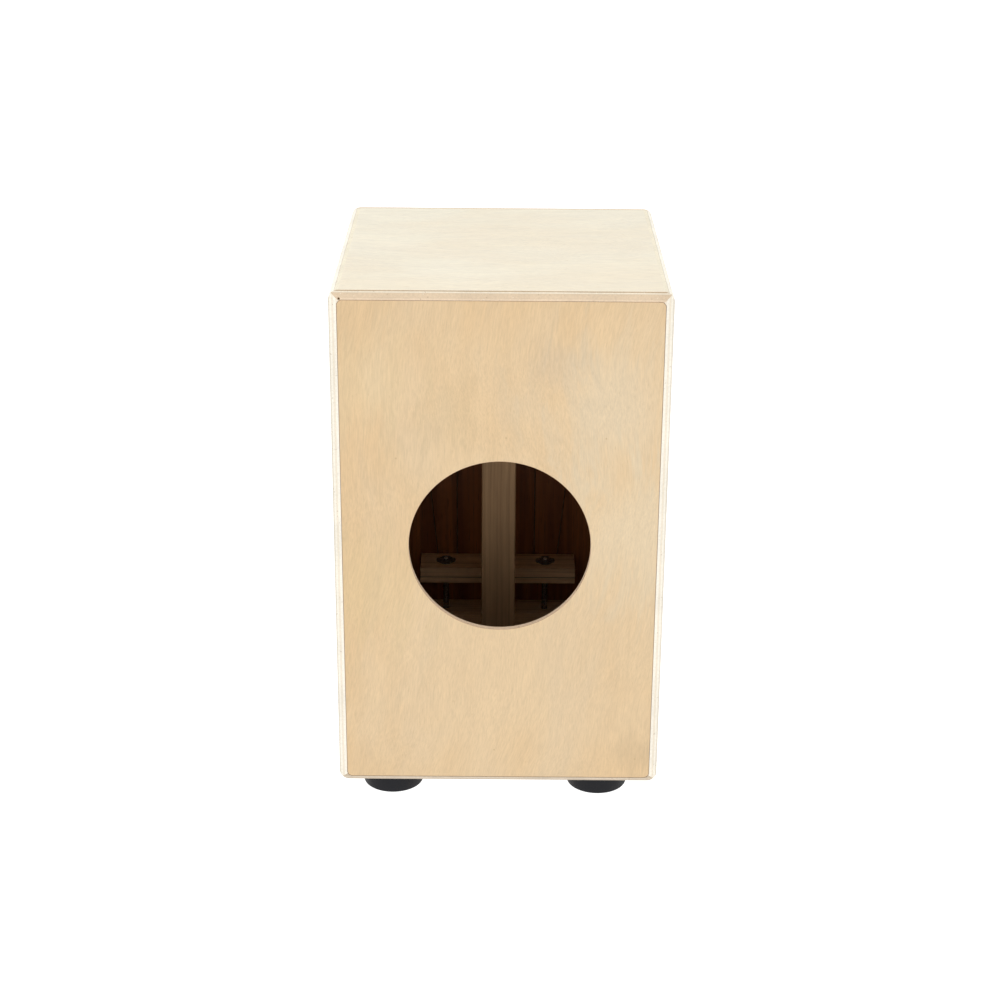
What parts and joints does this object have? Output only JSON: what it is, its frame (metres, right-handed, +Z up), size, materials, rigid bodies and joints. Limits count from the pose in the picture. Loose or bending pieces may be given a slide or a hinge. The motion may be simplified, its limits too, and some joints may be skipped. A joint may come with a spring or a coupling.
{
  "type": "cajon",
  "caption": "Box drum played sitting on it: birch plywood case, thin front playing panel, round sound hole at the rear, and snare strings on a screw-tensioned bar inside.",
  "frame": {"origin": "on the floor, under the middle of the box", "axes": "+Z up; +Y towards the rear panel with the sound hole; -Y towards the playing panel; +X is on the left when the rear panel is looked at"},
  "size_m": [0.3, 0.3, 0.5],
  "materials": {
    "birch_ply": "pale birch plywood, satin clear lacquer",
    "tapa_veneer": "thin plywood, reddish-brown inside, satin",
    "softwood": "planed, unfinished softwood",
    "black_rubber": "matt black rubber",
    "zinc_steel": "zinc-plated, slightly dull",
    "string_steel": "wound steel string"
  },
  "bodies": {
    "box": {"seat_panel": "birch_ply", "base_panel": "birch_ply", "left_side_panel": "birch_ply", "right_side_panel": "birch_ply", "rear_panel": "birch_ply", "tapa": "tapa_veneer", "centre_post": "softwood", "tension_block": "softwood", "string_rail": "softwood", "left_bolt_washer": "zinc_steel", "right_bolt_washer": "zinc_steel", "left_outer_string": "string_steel", "left_inner_string": "string_steel", "right_inner_string": "string_steel", "right_outer_string": "string_steel", "left_outer_string_upper_screw": "zinc_steel", "left_inner_string_upper_screw": "zinc_steel", "right_inner_string_upper_screw": "zinc_steel", "right_outer_string_upper_screw": "zinc_steel", "front_left_foot": "black_rubber", "front_right_foot": "black_rubber", "rear_left_foot": "black_rubber", "rear_right_foot": "black_rubber", "front_left_foot_screw": "zinc_steel", "front_right_foot_screw": "zinc_steel", "rear_left_foot_screw": "zinc_steel", "rear_right_foot_screw": "zinc_steel", "front_left_foot_washer": "zinc_steel", "front_right_foot_washer": "zinc_steel", "rear_left_foot_washer": "zinc_steel", "rear_right_foot_washer": "zinc_steel", "tapa_screw_01": "zinc_steel", "tapa_screw_02": "zinc_steel", "tapa_screw_03": "zinc_steel", "tapa_screw_04": "zinc_steel", "tapa_screw_05": "zinc_steel", "tapa_screw_06": "zinc_steel", "tapa_screw_07": "zinc_steel", "tapa_screw_08": "zinc_steel", "tapa_screw_09": "zinc_steel", "tapa_screw_10": "zinc_steel", "tapa_screw_11": "zinc_steel", "tapa_screw_12": "zinc_steel", "tapa_screw_13": "zinc_steel", "tapa_screw_14": "zinc_steel"},
    "snare_bar_assembly": {"snare_bar": "softwood", "left_claw_nut": "zinc_steel", "right_claw_nut": "zinc_steel", "left_outer_string_lower_screw": "zinc_steel", "left_inner_string_lower_screw": "zinc_steel", "right_inner_string_lower_screw": "zinc_steel", "right_outer_string_lower_screw": "zinc_steel"},
    "left_bolt": {"left_tension_bolt": "zinc_steel"},
    "right_bolt": {"right_tension_bolt": "zinc_steel"}
  },
  "joints": [
    {"name": "left_bolt_turn", "type": "hinge", "parent": "box", "child": "left_bolt", "pos_m": [-0.048, -0.1238, 0.0178], "axis": [0, 0, 1], "range_deg": [-2170, 730]},
    {"name": "right_bolt_turn", "type": "hinge", "parent": "box", "child": "right_bolt", "pos_m": [0.0564, -0.1238, 0.0178], "axis": [0, 0, 1], "range_deg": [-2170, 730]},
    {"name": "snare_bar_slide", "type": "slide", "parent": "box", "child": "snare_bar_assembly", "axis": [0, 0, 1], "range_m": [-0.002, 0.006], "deforming": ["left_outer_string", "left_inner_string", "right_inner_string", "right_outer_string"]}
  ],
  "couplings": [
    {"joint": "left_bolt_turn", "follows": "snare_bar_slide", "rad_per_m": -6283.2},
    {"joint": "right_bolt_turn", "follows": "snare_bar_slide", "rad_per_m": -6283.2}
  ]
}
